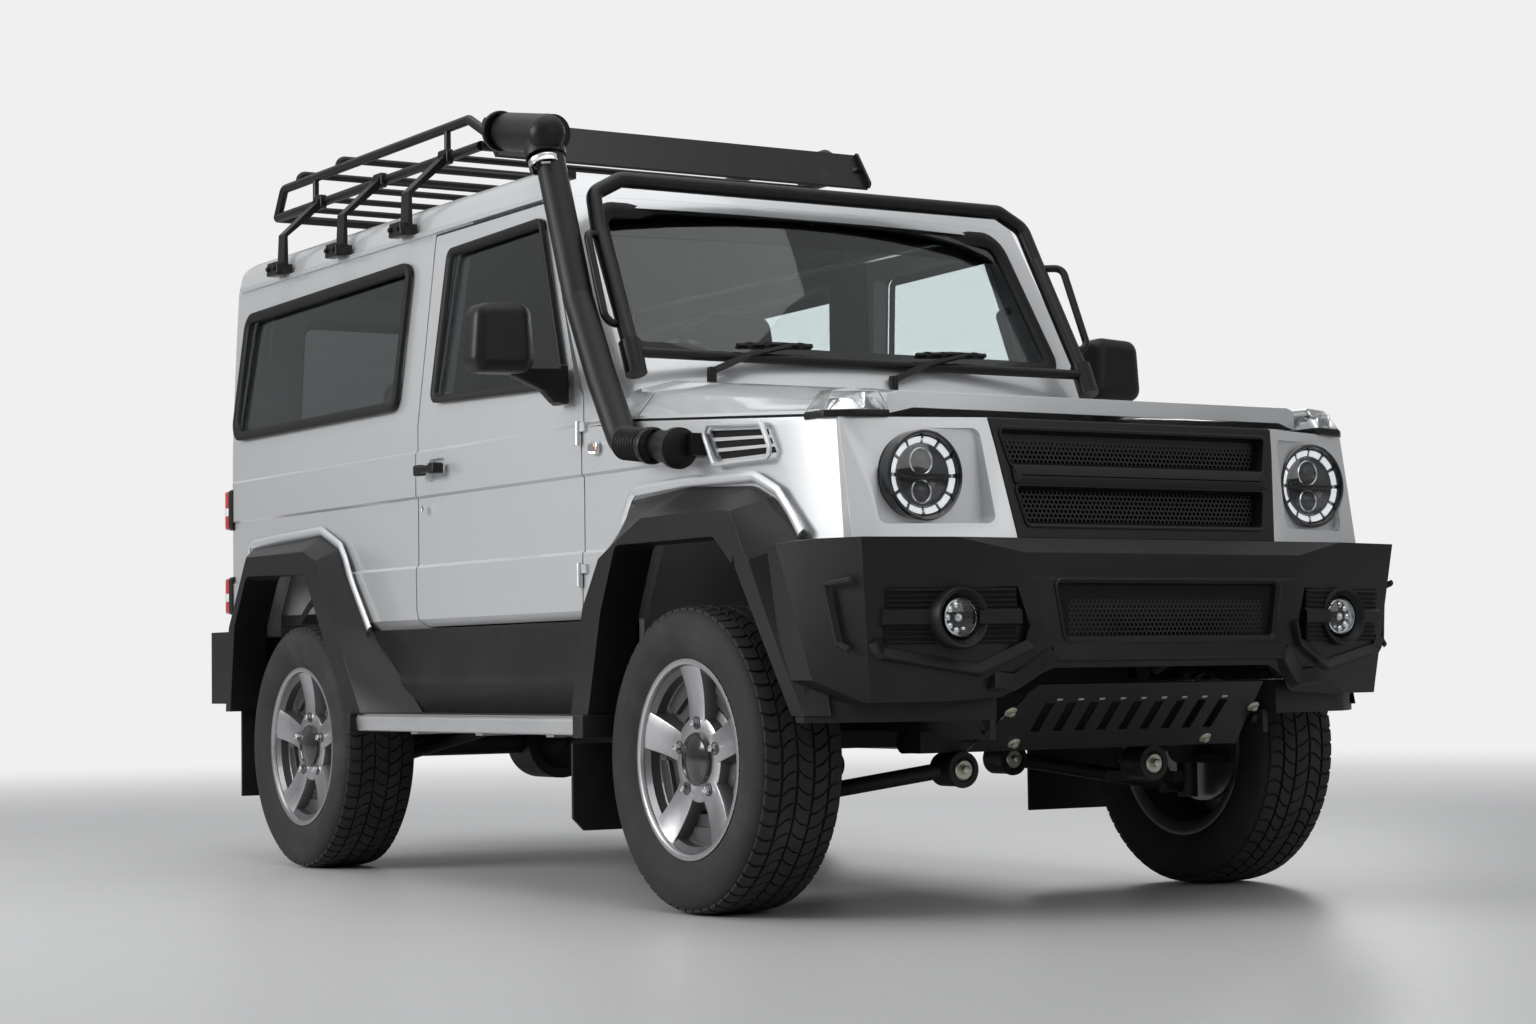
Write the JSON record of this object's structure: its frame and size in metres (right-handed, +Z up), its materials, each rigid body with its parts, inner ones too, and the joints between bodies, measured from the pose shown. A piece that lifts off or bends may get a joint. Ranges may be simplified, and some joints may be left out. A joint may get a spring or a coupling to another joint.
{
  "type": "off-road car",
  "caption": "Short three-door lifted off-road car with flared wheel arches, snorkel, screen guard, roof rack and a side-hinged tailgate that carries the spare wheel.",
  "frame": {"origin": "on the ground under the middle of the overall length and width", "axes": "front faces -Y, the vehicle's right side is -X, +Z up"},
  "size_m": [2.2032, 4.272, 2.3099],
  "materials": {
    "silver_paint": "metallic clearcoat",
    "black_trim": "grained satin",
    "black_tube": "satin powder coat",
    "glass": "tinted",
    "lamp_glass": "clear",
    "lamp_body": "gloss",
    "red_lamp": "gloss",
    "aluminium": "brushed",
    "chassis_black": "satin",
    "cast_parts": "as cast",
    "steel_pipe": "dull",
    "cabin_plastic": "grained",
    "seat_fabric": "woven",
    "tyre_rubber": "matt",
    "wheel_alloy": "machined"
  },
  "bodies": {
    "body": {"chassis_frame": "chassis_black", "floor_pan": "chassis_black", "roof_panel": "silver_paint", "cowl_panel": "silver_paint", "side_panels": "silver_paint", "front_fenders": "silver_paint", "fixed_glass": "glass", "fender_flares": "black_trim", "sill_cladding": "black_trim", "side_steps": "aluminium", "front_bumper": "black_trim", "fog_lamps": "lamp_glass", "headlamp_surrounds": "silver_paint", "grille": "black_trim", "headlamps": "lamp_body", "headlamp_lenses": "lamp_glass", "corner_lamps": "lamp_glass", "bash_plate": "black_tube", "roof_rack": "black_tube", "rack_hoops": "black_tube", "snorkel": "black_trim", "screen_guard": "black_tube", "wipers": "black_tube", "mudflaps": "black_trim", "rear_bumper": "black_trim", "tail_lamps": "red_lamp", "dashboard": "cabin_plastic", "seats": "seat_fabric", "engine_block": "cast_parts", "drivetrain": "cast_parts", "exhaust": "steel_pipe", "front_suspension": "chassis_black", "rear_axle": "chassis_black"},
    "bonnet": {"bonnet": "silver_paint"},
    "door_right": {"door_right": "silver_paint", "door_glass_right": "glass", "mirror_right": "black_trim"},
    "door_left": {"door_left": "silver_paint", "door_glass_left": "glass", "mirror_left": "black_trim"},
    "tailgate": {"tailgate": "silver_paint", "tailgate_glass": "glass", "spare_carrier": "black_tube", "spare_tyre": "tyre_rubber", "spare_rim": "wheel_alloy"},
    "steering_wheel": {"steering_wheel": "cabin_plastic"},
    "upright_right": {"knuckle_right": "cast_parts"},
    "upright_left": {"knuckle_left": "cast_parts"},
    "wheel_front_right": {"tyre_front_right": "tyre_rubber", "rim_front_right": "wheel_alloy"},
    "wheel_front_left": {"tyre_front_left": "tyre_rubber", "rim_front_left": "wheel_alloy"},
    "wheel_rear_right": {"tyre_rear_right": "tyre_rubber", "rim_rear_right": "wheel_alloy"},
    "wheel_rear_left": {"tyre_rear_left": "tyre_rubber", "rim_rear_left": "wheel_alloy"}
  },
  "joints": [
    {"name": "bonnet_hinge", "type": "hinge", "parent": "body", "child": "bonnet", "pos_m": [0, -0.8985, 1.362], "axis": [-1, 0, 0], "range_deg": [0, 50]},
    {"name": "door_right_hinge", "type": "hinge", "parent": "body", "child": "door_right", "pos_m": [-0.825, -0.6795, 1], "axis": [0, 0, 1], "range_deg": [0, 50]},
    {"name": "door_left_hinge", "type": "hinge", "parent": "body", "child": "door_left", "pos_m": [0.825, -0.6795, 1], "axis": [0, 0, -1], "range_deg": [0, 62]},
    {"name": "tailgate_hinge", "type": "hinge", "parent": "body", "child": "tailgate", "pos_m": [-0.6935, 1.874, 1.15], "axis": [0, 0, 1], "range_deg": [0, 80]},
    {"name": "steer_right", "type": "hinge", "parent": "body", "child": "upright_right", "pos_m": [-0.7, -1.336, 0.38], "axis": [0, 0, 1], "range_deg": [-30, 30]},
    {"name": "steer_left", "type": "hinge", "parent": "body", "child": "upright_left", "pos_m": [0.7, -1.336, 0.38], "axis": [0, 0, 1], "range_deg": [-30, 30]},
    {"name": "steering_wheel_turn", "type": "hinge", "parent": "body", "child": "steering_wheel", "pos_m": [-0.38, -0.381, 1.397], "axis": [0, 0.8321, 0.5547], "range_deg": [-450, 450]},
    {"name": "spin_front_right", "type": "hinge", "parent": "upright_right", "child": "wheel_front_right", "pos_m": [-0.78, -1.336, 0.38], "axis": [1, 0, 0], "continuous": true},
    {"name": "spin_front_left", "type": "hinge", "parent": "upright_left", "child": "wheel_front_left", "pos_m": [0.78, -1.336, 0.38], "axis": [1, 0, 0], "continuous": true},
    {"name": "spin_rear_right", "type": "hinge", "parent": "body", "child": "wheel_rear_right", "pos_m": [-0.78, 1.064, 0.38], "axis": [1, 0, 0], "continuous": true},
    {"name": "spin_rear_left", "type": "hinge", "parent": "body", "child": "wheel_rear_left", "pos_m": [0.78, 1.064, 0.38], "axis": [1, 0, 0], "continuous": true}
  ],
  "couplings": [
    {"joint": "steer_left", "follows": "steer_right", "ratio": 1},
    {"joint": "steering_wheel_turn", "follows": "steer_right", "ratio": 15}
  ]
}
